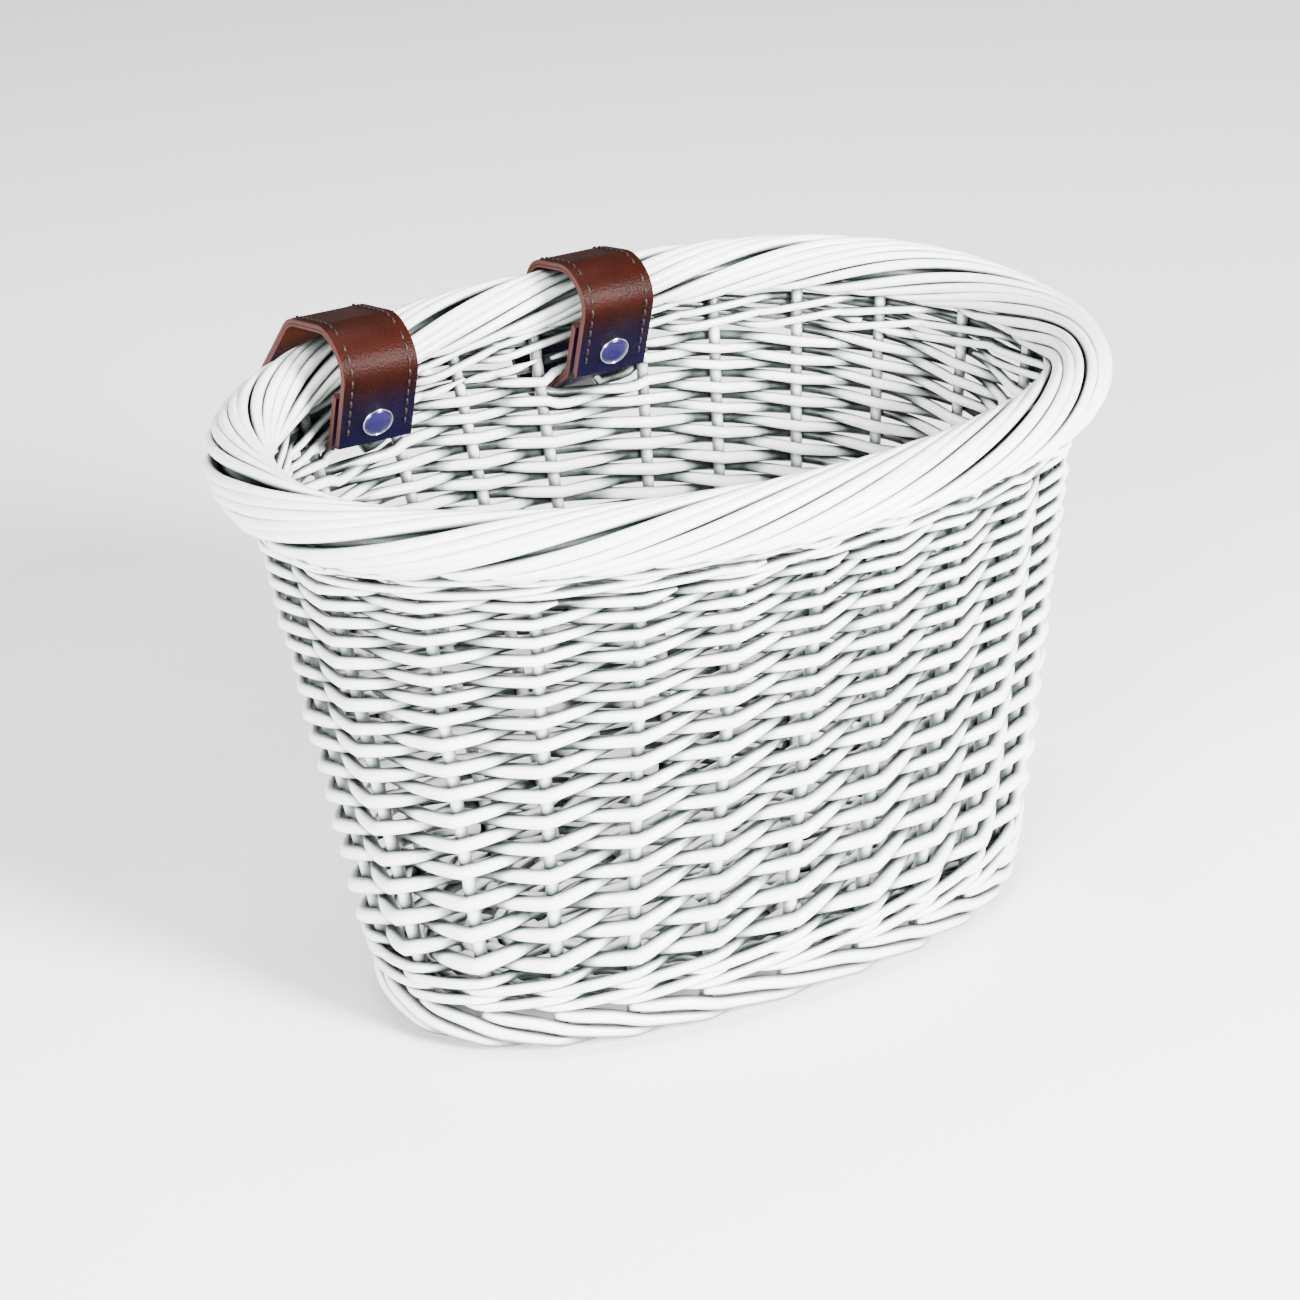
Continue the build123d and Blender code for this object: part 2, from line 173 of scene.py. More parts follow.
levelPaint = paintedWillow("white_painted_willow_weave", (70, 70, 900))
uprightPaint = paintedWillow("white_painted_willow_stake", (800, 800, 60))
strapFace = heightToneLeather("oiled_cowhide_strap", ("#190401", "#260701"), ("#05021c", "#0c0415"), 0.5)
strapBack = heightToneLeather("split_hide_lining", ("#35140a", "#41190c"), ("#0b0519", "#150a18"), 0.8)
strapEdge = plain("raw_cut_leather_edge", "#3f170f", 0.8)
thread = plain("waxed_brown_thread", "#120502", 0.6)
steel = plain("polished_nickel_plate", "#d9dbe0", 0.16, 1.0)
enamel = plain("violet_blue_baked_enamel", "#0b0238", 0.25, 0.0, 0.3)


# ---- shared shapes ----

def addPiece(name, mesh, materials):
    piece = bpy.data.objects.new(name, mesh)
    bpy.context.scene.collection.objects.link(piece)
    for material in materials:
        mesh.materials.append(material)
    return piece


def rodMesh(name, paths, sides=2, ring=False):
    # round rods along lists of (place, radius), each one closed at its ends
    line = bpy.data.curves.new(name, "CURVE")
    line.dimensions = "3D"
    line.bevel_depth = mm
    line.bevel_resolution = sides
    line.use_fill_caps = not ring
    for path in paths:
        spline = line.splines.new("POLY")
        spline.points.add(len(path) - 1)
        spline.use_cyclic_u = ring
        spline.use_smooth = True
        for knot, (place, radius) in zip(spline.points, path):
            knot.co = (*(Vector(place) * mm), 1)
            knot.radius = radius
    holder = bpy.data.objects.new(name + "_line", line)
    bpy.context.scene.collection.objects.link(holder)
    bpy.context.view_layer.update()
    mesh = bpy.data.meshes.new_from_object(holder.evaluated_get(bpy.context.evaluated_depsgraph_get()))
    bpy.data.objects.remove(holder)
    bpy.data.curves.remove(line)
    mesh.name = name
    shape = bmesh.new()
    shape.from_mesh(mesh)
    bmesh.ops.remove_doubles(shape, verts=shape.verts, dist=0.00001)
    bmesh.ops.recalc_face_normals(shape, faces=shape.faces)
    for face in shape.faces:
        face.smooth = len(face.verts) == 4
    shape.to_mesh(mesh)
    shape.free()
    return mesh


def latheMesh(name, profile, steps=40):
    # a turned shape from (radius, height) points, starting and ending on its axis
    shape = bmesh.new()
    points = [shape.verts.new((r * mm, 0, z * mm)) for r, z in profile]
    edges = [shape.edges.new(pair) for pair in zip(points, points[1:])]
    bmesh.ops.spin(shape, geom=points + edges, cent=(0, 0, 0), axis=(0, 0, 1), angle=2 * pi,
                   steps=steps, use_merge=True)
    bmesh.ops.remove_doubles(shape, verts=shape.verts, dist=0.000005)
    bmesh.ops.recalc_face_normals(shape, faces=shape.faces)
    for face in shape.faces:
        face.smooth = True
    mesh = bpy.data.meshes.new(name)
    shape.to_mesh(mesh)
    shape.free()
    return mesh


def ease(share):
    share = min(max(share, 0.0), 1.0)
    return share * share * (3 - 2 * share)


# ---- the wall, as one surface that every rod follows ----

wall = {
    "mouthHalf": 115.5, "mouthFront": 79.5, "mouthBack": 65.5, "frontRound": 1.91, "backRound": 2.65,
    "mouthHeight": 154.0, "backLift": 3.6, "endDip": 3.0, "inset": 2.7,
    "footHalf": 90.6, "footFront": 46.0, "footBack": 43.2, "footRound": 2.33, "footShift": -7.6, "foot": 8.0,
    "footThick": 5.6, "headThick": 4.0,  # half the wall's thickness
    "stakes": 23, "turn": 0.065, "drift": 0.095, "gaps": (5, 8), "spread": 2.0,
    # the rows lie level up to one height and follow the rise of the mouth over the next stretch
    "levelTo": 50, "riseOver": 100, "levelMouth": 153.4,
}


def rounded(half, depth, power, turn):
    along, across = cos(turn), sin(turn)
    x, y = half * abs(along) ** (2 / power), depth * abs(across) ** (2 / power)
    return Vector((x if along > 0 else -x, y if across > 0 else -y, 0))


def mouthPoint(turn, inset=0.0):
    front = sin(turn) < 0
    depth = wall["mouthFront"] if front else wall["mouthBack"]
    power = wall["frontRound"] if front else wall["backRound"]
    return rounded(wall["mouthHalf"] - inset, depth - inset, power, turn)


def mouthRise(turn):
    return wall["mouthHeight"] + wall["backLift"] * sin(turn) - wall["endDip"] * cos(2 * turn)


def wallMiddle(turn, height):
    depth = wall["footFront"] if sin(turn) < 0 else wall["footBack"]
    foot = rounded(wall["footHalf"], depth, wall["footRound"], turn)
    foot.y += wall["footShift"]
    share = (height - wall["foot"]) / (wall["mouthHeight"] - wall["foot"])
    return foot.lerp(mouthPoint(turn, wall["inset"]), share) + Vector((0, 0, height))


def lengthTable(spotAt, steps=1440):
    turns = [2 * pi * i / steps for i in range(steps + 1)]
    reach = [0.0]
    for here, there in zip(turns, turns[1:]):
        reach.append(reach[-1] + (spotAt(there) - spotAt(here)).length)
    return turns, reach


def turnAt(table, length):
    turns, reach = table
    length %= reach[-1]
    low, high = 0, len(reach) - 1
    while high - low > 1:
        middle = (low + high) // 2
        if reach[middle] > length:
            high = middle
        else:
            low = middle
    return turns[low] + (turns[high] - turns[low]) * (length - reach[low]) / (reach[high] - reach[low])


wallTable = lengthTable(lambda turn: wallMiddle(turn, wall["mouthHeight"] / 2))
mouthTable = lengthTable(lambda turn: mouthPoint(turn) + Vector((0, 0, mouthRise(turn))))
stakeCount = wall["stakes"]


def stakePlace(index):
    # length along the wall at which a stake stands, unevenly spaced as a maker sets them
    rounds, index = divmod(index, stakeCount)
    wave = cos(2 * pi * (index / stakeCount - 0.75))
    place = (index + wall["turn"] + wall["drift"] * wave) / stakeCount * wallTable[1][-1]
    place -= wall["spread"] if index in wall["gaps"] else 0
    place += wall["spread"] if index - 1 in wall["gaps"] else 0
    return place + rounds * wallTable[1][-1]


def turnOf(count):
    # count is in stake spaces, whole at a stake
    index = int(count // 1)
    low, high = stakePlace(index), stakePlace(index + 1)
    return turnAt(wallTable, low + (high - low) * (count - index))


def wallSpot(count, height, outset):
    # a point beside the wall, with the upper rows following the rise of the mouth
    turn = turnOf(count)
    share = ease((height - wall["levelTo"]) / wall["riseOver"])
    height += (mouthRise(turn) - wall["levelMouth"]) * share
    ahead, behind = wallMiddle(turn + 0.01, height), wallMiddle(turn - 0.01, height)
    run = (ahead - behind).normalized()
    return wallMiddle(turn, height) + Vector((run.y, -run.x, 0)) * outset


def waver(a, b, size):
    # slow unevenness of hand work, different for each a and running along b
    return noise.noise(Vector((a * 3.17, b, 0.5))) * size


# points on the wall's middle surface, from which the painted shade inside the wall's thickness is measured
innerShadeGrid = {"levels": 46, "rise": 3.6, "around": 360, "reach": 2.4}
wallTree = kdtree.KDTree(innerShadeGrid["levels"] * innerShadeGrid["around"])
wallPlaces = []
for level in range(innerShadeGrid["levels"]):
    for i in range(innerShadeGrid["around"]):
        wallPlaces.append(wallSpot(stakeCount * i / innerShadeGrid["around"], level * innerShadeGrid["rise"], 0))
        wallTree.insert(wallPlaces[-1] * mm, len(wallPlaces) - 1)
wallTree.balance()


def markInnerShade(mesh):
    # 1 in the middle of the wall's thickness, falling to 0 at the grid's reach on either side; the material
    # paints shade on the strokes with it
    reach = mesh.attributes.new("reach", "FLOAT", "POINT")
    for vert, value in zip(mesh.vertices, reach.data):
        _, index, _ = wallTree.find(vert.co)
        level, i = divmod(index, innerShadeGrid["around"])
        row = level * innerShadeGrid["around"]
        run = wallPlaces[row + (i + 1) % innerShadeGrid["around"]] - wallPlaces[row + i - 1]
        away = (vert.co / mm - wallPlaces[index]).dot(Vector((run.y, -run.x, 0)).normalized())
        value.value = 1 - min(abs(away) / innerShadeGrid["reach"], 1)
    return mesh


# ---- stakes ----

stakeSizes = {"radius": 1.9, "head": 1.6, "bottom": 5.0, "top": 150.0}


def stakePath(index):
    path = []
    for step in range(25):
        share = step / 24
        height = stakeSizes["bottom"] + (stakeSizes["top"] - stakeSizes["bottom"]) * share
        count = index + waver(index, share * 2.5, 0.05) * share
        spot = wallSpot(count, height, waver(index + 40, share * 3, 0.5))
        path.append((spot, stakeSizes["radius"] + (stakeSizes["head"] - stakeSizes["radius"]) * share))
    return path


stakePaths = [stakePath(index) for index in range(stakeCount)]
for index, path in enumerate(stakePaths):
    name = f"stake_{index + 1:02d}"
    piece = addPiece(name + "_rod", rodMesh(name + "_rod", [path], 3), [uprightPaint])
    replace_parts(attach(piece, "root"), name)
print("stakes")


# ---- side weave: each rod goes before one stake and behind the next, always climbing ----

weave = {"rows": 16, "first": 28.5, "pitch": 9.6, "tighten": 0.1725, "kink": 0.15, "thick": 2.1,
         "thin": 1.34, "butt": 7, "steps": 9,
         "slotHeight": 133.2, "slotHalf": 2.7, "slotReach": 10.0, "slotEase": 0.16}


def rowHeight(row):
    return weave["first"] + weave["pitch"] * row - weave["tighten"] * row * (row - 1)


def partedHeight(count, height):
    # the rods part above and below a strap that passes through the wall
    index = int(count // 1) % stakeCount
    if index not in wall["gaps"]:
        return height
    within = count - count // 1
    share = ease(within / weave["slotEase"]) * ease((1 - within) / weave["slotEase"])
    away = height - weave["slotHeight"]
    if abs(away) > weave["slotReach"]:
        return height
    moved = weave["slotHalf"] + abs(away) * (1 - weave["slotHalf"] / weave["slotReach"])
    return height + (moved if away > 0 else -moved) * share - away * share


def weaverPath(first):
    # starts with a short butt end and thins to a tip under the rim
    path = []
    last = 2 * weave["rows"] - 1.4 + random.uniform(-0.5, 0.9)
    total = int(last * weave["steps"]) + weave["butt"]
    for step in range(total + 1):
        t = (step - weave["butt"]) / weave["steps"]
        row = t / 2 + weave["kink"] * abs(sin(pi * t / 2))
        grown = ease(t / (2 * weave["rows"]))
        radius = weave["thick"] + (weave["thin"] - weave["thick"]) * t / (2 * weave["rows"])
        radius *= 1 + waver(first + 60, t * 0.3, 0.12)
        height = rowHeight(row) + waver(first, t * 0.45, 0.9)
        swing = 0.25 * cos(pi * t) + 0.75 * (1 - 2 * abs((t + 1) % 2 - 1))
        outset = swing * (stakeSizes["radius"] + radius) + waver(first + 20, t * 0.6, 0.5) * (0.5 + grown)
        if step > total - 3:
            radius *= 0.35 + 0.32 * (total - step)
            outset += 0.3
        path.append((wallSpot(first + t, partedHeight(first + t, height), outset), radius))
    return path


weaverPaths = [weaverPath(first) for first in range(stakeCount)]
mesh = markInnerShade(rodMesh("side_weave_rods", weaverPaths, 3))
piece = addPiece("side_weave_rods", mesh, [levelPaint])
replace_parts(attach(piece, "root"), "side_weave")
print("side weave:", len(piece.data.polygons), "faces")


# ---- wales: three rods at a time, each before two stakes and behind one ----

waleStart = 6  # the stake at the back where each round begins
waleStep = {"after": 20, "over": 3}  # and how far round it steps up to the next one


def walePath(first, spaces, foot, climb, lift, radius, steps=7):
    path = []
    for step in range(spaces * steps + 1):
        t = step / steps
        raw = 0.35 - 1.6 * cos(2 * pi * t / 3)
        swing = raw / (1 + abs(raw) ** 5) ** 0.2
        climbing = (t - 0.5) % 3
        saw = climbing / 2 - 0.5 if climbing < 2 else 2.5 - climbing
        size = radius * (1 + waver(first + 90 + foot, t * 0.4, 0.12))
        # each round runs level and steps up at the back, where it began
        rounds, within = divmod(first - waleStart + t, stakeCount)
        stepped = ease((within - waleStep["after"]) / waleStep["over"])
        height = foot + climb * (rounds + stepped) + lift * saw + waver(first + foot, t * 0.5, 0.5)
        outset = swing * (stakeSizes["radius"] + size * 1.05) + waver(first + foot + 9, t * 0.5, 0.35)
        if step < 2 or step > spaces * steps - 2:
            size *= 0.5
        path.append((wallSpot(first + t, height, outset), size))
    return path


waleSizes = {"bottom": {"foot": 16.1, "climb": 4.9, "lift": 5.6, "radius": 1.48},
             "top": {"foot": 140.4, "climb": 3.7, "lift": 3.9, "radius": 1.12}}
tipSizes = {"count": 15, "from": 0.2, "to": 0.45, "low": 139, "high": 146, "length": 0.75, "radius": 1.35,
            "inside": -1.5, "out": 6.0}
for name, sizes in waleSizes.items():
    paths = [walePath(waleStart + first, 2 * stakeCount, **sizes) for first in (0, 1, 2)]
    if name == "top":
        # cut ends of finished rods, lying on the outside under the rim
        for count in random.sample(range(stakeCount), tipSizes["count"]):
            start = count + random.uniform(tipSizes["from"], tipSizes["to"])
            height = random.uniform(tipSizes["low"], tipSizes["high"])
            tip = []
            for step in range(9):
                share = step / 8
                climbed = height + share * random.uniform(0.5, 1.5)
                outset = tipSizes["inside"] + tipSizes["out"] * ease(share * 1.5)
                spot = wallSpot(start + share * tipSizes["length"], climbed, outset)
                tip.append((spot, tipSizes["radius"] * (1 if share < 0.8 else 1.9 - share * 1.5)))
            paths.append(tip)
    mesh = markInnerShade(rodMesh(name + "_wale_rods", paths, 3))
    piece = addPiece(name + "_wale_rods", mesh, [levelPaint])
    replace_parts(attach(piece, "root"), name + "_wale")
print("wales")


# ---- foot border: every stake bends to the right and is turned under ----

footSizes = {"radius": 2.0, "counts": (-0.07, 0.25, 0.66, 1.08, 2.0, 2.5),
             "heights": (11.0, 10.7, 9.8, 6.9, 3.2, 2.1), "outsets": (0.3, 2.0, 2.7, 3.0, 2.2, -2.6),
             "round": 0.09}


def alongStops(stops, values, place):
    for low, high, a, b in zip(stops, stops[1:], values, values[1:]):
        if place <= high:
            return a + (b - a) * (place - low) / (high - low)
    return values[-1]


def footPath(index):
    path = []
    counts = footSizes["counts"]
    for step in range(31):
        t = counts[0] + (counts[-1] - counts[0]) * step / 30
        # averaged over a short stretch so that the bends are round
        near = [t - footSizes["round"], t, t + footSizes["round"]]
        height = sum(alongStops(counts, footSizes["heights"], max(n, counts[0])) for n in near) / 3
        outset = sum(alongStops(counts, footSizes["outsets"], max(n, counts[0])) for n in near) / 3
        size = footSizes["radius"] * (1 + waver(index + 130, t, 0.08)) * (1 - 0.06 * t)
        path.append((wallSpot(index + t, max(height + waver(index, t, 0.4), size), outset), size))
    return path


footPaths = [footPath(index) for index in range(stakeCount)]
piece = addPiece("foot_border_rods", rodMesh("foot_border_rods", footPaths, 3), [levelPaint])
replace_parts(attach(piece, "root"), "foot_border")
print("foot border")


# ---- rolled border: rods that come up from under the rim, go over it and down inside ----

rope = {"radius": 9.15, "rod": 1.72, "pitch": 190.0, "from": -64.0, "to": 236.0, "near": 10.4, "far": 17.0,
        "core": 4.4, "sinkIn": 2.8, "sinkInOver": 13, "sinkOut": 2.4, "sinkOutOver": 12}


def ropeSpot(length, angle, reach):
    # a point round the middle of the border: angle 0 is outside, 90 degrees on top
    turn = turnAt(mouthTable, length)
    ahead = mouthPoint(turn + 0.01) + Vector((0, 0, mouthRise(turn + 0.01)))
    behind = mouthPoint(turn - 0.01) + Vector((0, 0, mouthRise(turn - 0.01)))
    run = (ahead - behind).normalized()
    out = run.cross(Vector((0, 0, 1))).normalized()
    over = out.cross(run)
    middle = mouthPoint(turn) + Vector((0, 0, mouthRise(turn)))
    return middle + out * reach * cos(angle) + over * reach * sin(angle)


def ropePath(start, seed):
    size = rope["rod"] * random.uniform(0.9, 1.08)
    span = (rope["to"] - rope["from"]) / 360 * rope["pitch"] + random.uniform(-8, 8)
    early = random.uniform(-4, 4)
    path = []
    for step in range(41):
        share = step / 40
        along = span * share
        angle = radians(rope["from"] + early + 360 * along / rope["pitch"])
        tuck = rope["sinkIn"] * (1 - ease(along / rope["sinkInOver"]))
        tuck += rope["sinkOut"] * (1 - ease((span - along) / rope["sinkOutOver"]))
        reach = rope["radius"] - size - tuck - abs(waver(seed, share * 4, 0.35))
        thick = size * (0.8 + 0.2 * ease(along / 10)) * (1 - 0.15 * share)
        path.append((ropeSpot(start + along, angle + waver(seed + 7, share * 3, 0.12), reach), thick))
    return path


mouthLength = mouthTable[1][-1]
ropeStarts = []
place = 0.0
while place < mouthLength - 12:
    for _ in range(random.choice((3, 4, 4, 5))):
        ropeStarts.append(place)
        place += rope["near"] * random.uniform(0.93, 1.07)
    place += rope["far"] - rope["near"]
# spread the last bundle's remainder over the whole round
ropeStarts = [start * mouthLength / place for start in ropeStarts]
ropePaths = [ropePath(start, seed) for seed, start in enumerate(ropeStarts)]
piece = addPiece("rolled_border_rods", rodMesh("rolled_border_rods", ropePaths, 3), [levelPaint])
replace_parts(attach(piece, "root"), "rolled_border_back", "rolled_border_front")
core = [(ropeSpot(mouthLength * i / 120, 0, 0), rope["core"]) for i in range(120)]
piece = addPiece("rolled_border_core", rodMesh("rolled_border_core", [core], 4, True), [levelPaint])
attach(piece, "root")
print("rolled border:", len(ropeStarts), "rods")


# ---- base: sticks with an oval woven round them ----

baseSizes = {"height": 14.0, "rod": 1.35, "step": 3.5, "rings": 11, "swing": 3.0, "inset": 7.6, "endsAt": 56,
             "crossAt": [(i - 2.5) * 21.0 for i in range(6)], "longAt": [-15.1, -7.6, -0.1]}


def baseRing(inset):
    # outline inside the foot of the wall
    spots = []
    for i in range(240):
        turn = 2 * pi * i / 240
        depth = (wall["footFront"] if sin(turn) < 0 else wall["footBack"]) - inset
        spot = rounded(wall["footHalf"] - inset, max(depth, 1.5), wall["footRound"], turn)
        spots.append(spot + Vector((0, wall["footShift"], 0)))
    return spots


basePaths = []
for ringIndex in range(baseSizes["rings"]):
    # the ring goes over one stick and under the next, and the next ring the other way round
    spots = baseRing(baseSizes["inset"] + ringIndex * baseSizes["step"])
    crossings = []
    for i, here in enumerate(spots):
        there = spots[(i + 1) % len(spots)]
        crossings += [i for x in baseSizes["crossAt"] if (here.x - x) * (there.x - x) < 0]
        if abs(here.x) > baseSizes["endsAt"]:
            crossings += [i for y in baseSizes["longAt"] if (here.y - y) * (there.y - y) < 0]
    crossings.sort()
    path = []
    for i, spot in enumerate(spots):
        number = sum(1 for c in crossings if c < i)
        low = crossings[number - 1] if number else crossings[-1] - len(spots)
        high = crossings[number] if number < len(crossings) else crossings[0] + len(spots)
        phase = number + (i - low) / max(high - low, 1) + ringIndex
        height = baseSizes["height"] + baseSizes["swing"] * cos(pi * phase)
        path.append((spot + Vector((0, 0, height)), baseSizes["rod"]))
    basePaths.append(path)
piece = addPiece("base_weave_rods", rodMesh("base_weave_rods", basePaths, 2, True), [levelPaint])
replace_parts(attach(piece, "root"), "base_weave")
for name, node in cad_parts.items():
    if name.startswith("base_") and name != "base_weave":
        node.data.materials.clear()
        node.data.materials.append(levelPaint)
print("base")


# ---- straps: leather over lining, stitched along both edges ----

strapSizes = {"width": 21.0, "leather": 1.2, "lining": 0.9, "stitchEdge": 2.4, "stitch": 2.1,
              "stitchPitch": 3.1, "thread": 0.3, "halfFold": 3.0, "soft": 0.28, "seamBack": 23}
strapWay = {
    "roll": 9.2, "rollClear": 0.4,  # the rolled border it goes over
    "bar": 11.1, "barClear": 0.6, "barDrop": 18.4,  # the handlebar it holds
    "slotDrop": 17.0, "footBend": 4.0, "tailRise": 15.5, "tailClear": 1.5, "lean": 0.35,
    "flapGap": 1.9, "hang": 14.5, "shoulderRise": 9.0, "crestRun": 9.5, "crestAngle": 78.0,
    "upperFold": -6.0, "lowerFold": 3.0, "flapBends": (13.0, 7.0),
}
snapDrop, snapRise = 6.5, 5.2


def backTurn(x):
    # where the back of the mouth passes over x
    along = (abs(x) / wall["mouthHalf"]) ** (wall["backRound"] / 2)
    return atan2((1 - along ** 2) ** 0.5, along if x > 0 else -along)


def halfWall(height):
    share = (height - wall["foot"]) / (wall["mouthHeight"] - wall["foot"])
    return wall["footThick"] + (wall["headThick"] - wall["footThick"]) * share


def insideWall(x, height):
    # how far back the wall's inner face stands at x, found by stepping the turn
    turn = acos(x / wall["mouthHalf"])
    for _ in range(40):
        run = wallMiddle(turn + 0.01, height) - wallMiddle(turn - 0.01, height)
        spot = wallMiddle(turn, height) - Vector((run.y, -run.x, 0)).normalized() * halfWall(height)
        turn += (spot.x - x) / wall["mouthHalf"]
    return spot.y


def crossing(angleA, reachA, angleB, reachB, centre):
    # where two lines meet that pass a centre at their reach, square to their angles
    spread = sin(angleB - angleA)
    across = (reachA * sin(angleB) - reachB * sin(angleA)) / spread
    upward = (reachB * cos(angleA) - reachA * cos(angleB)) / spread
    return (centre[0] + across, centre[1] + upward)


def strapRoute(x):
    # corners of the leather's middle line, seen from the side: tail, round the bar, over the roll, flap, end
    way, half = strapWay, strapSizes["width"] / 2
    barHeight = mouthRise(pi / 2) - way["barDrop"]
    atWall = wallMiddle(pi / 2, barHeight).y + halfWall(barHeight)
    bar = (atWall + way["bar"] + way["barClear"], barHeight)
    roll = (mouthPoint(backTurn(x)).y, mouthRise(backTurn(x)))
    furthest = max(mouthPoint(backTurn(x + side * half)).y for side in (-1, 1))
    hug = way["roll"] + furthest - roll[0] + way["rollClear"] + strapSizes["lining"]
    around = way["bar"] + strapSizes["lining"]
    run = (bar[0] - roll[0], bar[1] - roll[1])
    down = atan2(run[1], run[0]) + pi / 2 + asin((around - hug) / hypot(*run))
    crest = radians(way["crestAngle"])
    shoulder = crossing(crest, hug, down, hug, roll)
    footHeight = mouthRise(pi / 2) - way["slotDrop"]
    inner = min(insideWall(x + side * half, footHeight) for side in (-1, 1))
    foot = (inner - way["tailClear"] - (strapSizes["leather"] + strapSizes["lining"]) / 2, footHeight)
    away = (bar[0] - foot[0], bar[1] - foot[1])
    dip = asin(around / hypot(*away)) - atan2(away[1], away[0])
    rear = crossing(down, around, -pi / 2 - dip, around, bar)
    tail = (foot[0] - way["lean"] * way["tailRise"], foot[1] + way["tailRise"])
    over = (strapSizes["leather"] + way["flapGap"] + strapSizes["lining"]) * hypot(1, way["lean"])
    end = (tail[0] - over + way["lean"] * way["hang"], tail[1] - way["hang"])
    bend = (tail[0] - over - way["lean"] * way["shoulderRise"], tail[1] + way["shoulderRise"])
    reach = bend[0] + way["crestRun"]
    upper = (reach, roll[1] + (hug - (reach - roll[0]) * cos(crest)) / sin(crest))
    upperFold = (roll[0] + way["upperFold"], roll[1] + (hug - way["upperFold"] * cos(crest)) / sin(crest))
    lowerFold = (tail[0] - over - way["lean"] * way["lowerFold"], tail[1] + way["lowerFold"])
    return {"fixed": [tail, foot, rear, shoulder, upperFold], "fixedRadii": [way["footBend"], around, hug],
            "flap": [upperFold, upper, bend, lowerFold], "end": [lowerFold, end]}


def roundedRoute(points, radii, step=1.0):
    # the same corners as the strap's middle line, each turned with its own radius, in even short steps
    points = [Vector(p) for p in points]
    rough = [points[0]]
    for before, corner, after, radius in zip(points, points[1:], points[2:], radii):
        back, on = (before - corner).normalized(), (after - corner).normalized()
        half = back.angle(on) / 2
        centre = corner + (back + on).normalized() * radius / sin(half)
        start = corner + back * radius / tan(half)
        sweep = pi - 2 * half
        sign = 1 if (start - centre).cross(corner - start) > 0 else -1
        for i in range(25):
            turned = (start - centre).copy()
            turned.rotate(Matrix.Rotation(sign * sweep * i / 24, 2))
            rough.append(centre + turned)
    rough.append(points[-1])
    total = sum((b - a).length for a, b in zip(rough, rough[1:]))
    count = max(int(total / step), 2)
    even, walked, index = [], 0.0, 0
    for i in range(count + 1):
        goal = total * i / count
        while index < len(rough) - 2 and walked + (rough[index + 1] - rough[index]).length < goal:
            walked += (rough[index + 1] - rough[index]).length
            index += 1
        part = (rough[index + 1] - rough[index]).length
        even.append(rough[index].lerp(rough[index + 1], min((goal - walked) / part, 1) if part else 0))
    return even


def sideways(route, i):
    # unit vector to the leather's face, square to the route
    a, b = route[max(i - 1, 0)], route[min(i + 1, len(route) - 1)]
    run = (b - a).normalized()
    return Vector((run.y, -run.x))


def stripMesh(shape, route, span, x, near, far, faceIndex, edgeIndex):
    # one layer between two offsets from the middle line, its long edges rubbed round
    half, thick, middle = strapSizes["width"] / 2, (far - near) / 2, (near + far) / 2
    soft = strapSizes["soft"]
    outline = []
    for side, face, first in ((1, 1, 0), (-1, 1, 90), (-1, -1, 180), (1, -1, 270)):
        for turn in (0, 30, 60, 90):
            a = radians(first + turn)
            outline.append((side * (half - soft) + soft * cos(a),
                            middle + face * (thick - soft) + soft * sin(a)))
    part = bmesh.new()
    previous = []
    for i in range(span[0], span[1] + 1):
        spot, across = route[i], sideways(route, i)
        corners = [(x + along, spot.x + across.x * rise, spot.y + across.y * rise) for along, rise in outline]
        ring = [part.verts.new(Vector(corner) * mm) for corner in corners]
        edges = [part.edges.new((ring[k - 1], ring[k])) for k in range(len(ring))]
        if previous:
            bmesh.ops.bridge_loops(part, edges=previous + edges)
        previous = edges
    bmesh.ops.holes_fill(part, edges=[e for e in part.edges if e.is_boundary], sides=0)
    bmesh.ops.recalc_face_normals(part, faces=part.faces)
    for face in part.faces:
        centre = face.calc_center_median() / mm
        spot = Vector((centre.y, centre.z))
        i = min(range(len(route)), key=lambda k: (route[k] - spot).length_squared)
        across = sideways(route, i)
        facing = abs(face.normal.y * across.x + face.normal.z * across.y)
        face.material_index = faceIndex if facing > 0.75 else edgeIndex
        face.smooth = len(face.verts) == 4
        for edge in face.edges if len(face.verts) > 4 else ():
            edge.smooth = False
    holder = bpy.data.meshes.new("strip")
    part.to_mesh(holder)
    part.free()
    shape.from_mesh(holder)
    bpy.data.meshes.remove(holder)


def stitchMesh(shape, route, x, threadIndex):
    # short stitches lying on the face, their ends drawn into it
    paths = []
    per = max(len(route) - 1, 1)
    length = sum((b - a).length for a, b in zip(route, route[1:]))
    for side in (-1, 1):
        at = x + side * (strapSizes["width"] / 2 - strapSizes["stitchEdge"])
        for number in range(int((length - 1) / strapSizes["stitchPitch"])):
            start = 0.8 + number * strapSizes["stitchPitch"]
            path = []
            for k, dip in enumerate((-0.35, 0.14, 0.2, 0.14, -0.35)):
                place = min((start + strapSizes["stitch"] * k / 4) / length * per, per - 0.001)
                i = int(place)
                across = sideways(route, i).lerp(sideways(route, i + 1), place - i).normalized()
                spot = route[i].lerp(route[i + 1], place - i) + across * (strapSizes["leather"] + dip)
                path.append(((at, spot.x, spot.y), strapSizes["thread"]))
            paths.append(path)
    holder = rodMesh("stitches", paths, 1)
    before = len(shape.faces)
    shape.from_mesh(holder)
    shape.faces.ensure_lookup_table()
    for face in shape.faces[before:]:
        face.material_index = threadIndex
    bpy.data.meshes.remove(holder)


def strapPiece(name, route, span, x):
    shape = bmesh.new()
    stripMesh(shape, route, span, x, 0.0, strapSizes["leather"], 0, 2)
    stripMesh(shape, route, span, x, -strapSizes["lining"], -0.02, 1, 2)
    stitchMesh(shape, route[span[0]:span[1] + 1], x, 3)
    mesh = bpy.data.meshes.new(name)
    shape.to_mesh(mesh)
    shape.free()
    return addPiece(name, mesh, [strapFace, strapBack, strapEdge, thread])


